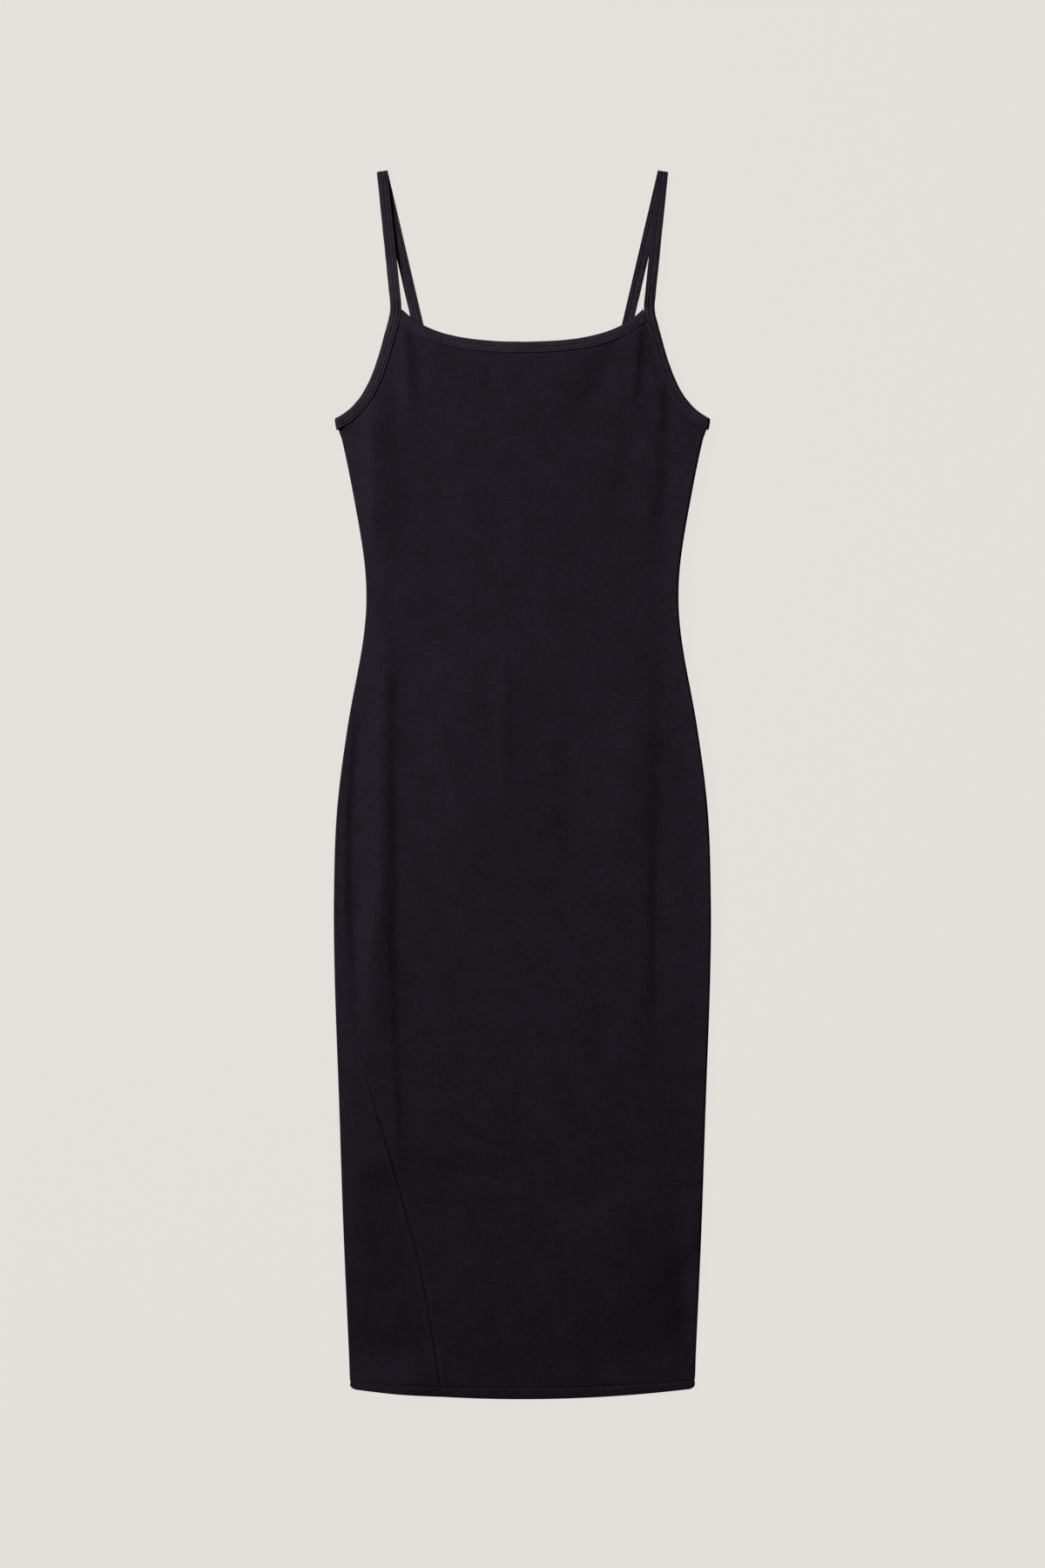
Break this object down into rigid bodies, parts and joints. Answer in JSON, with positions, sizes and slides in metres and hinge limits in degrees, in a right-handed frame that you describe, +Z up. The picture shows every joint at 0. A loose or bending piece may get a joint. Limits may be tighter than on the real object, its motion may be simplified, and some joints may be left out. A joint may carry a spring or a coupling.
{
  "type": "bodycon midi dress",
  "caption": "Close-fitting jersey midi dress with narrow shoulder straps, bound neckline and armholes and a side seam that twists to the front, laid flat face up.",
  "frame": {"origin": "middle of the bounding box on the surface that the dress lies on", "axes": "+Y along the dress from hem to straps, +Z up from the surface out of the dress's front, +X towards the wearer's left"},
  "size_m": [0.369, 1.2, 0.0077],
  "materials": {
    "jersey": "matte",
    "binding": "matte"
  },
  "bodies": {
    "root": {"front_panel": "jersey", "back_panel": "jersey", "front_neck_binding": "binding", "back_neck_binding": "binding", "left_armhole_strap": "binding", "right_armhole_strap": "binding"}
  },
  "joints": []
}
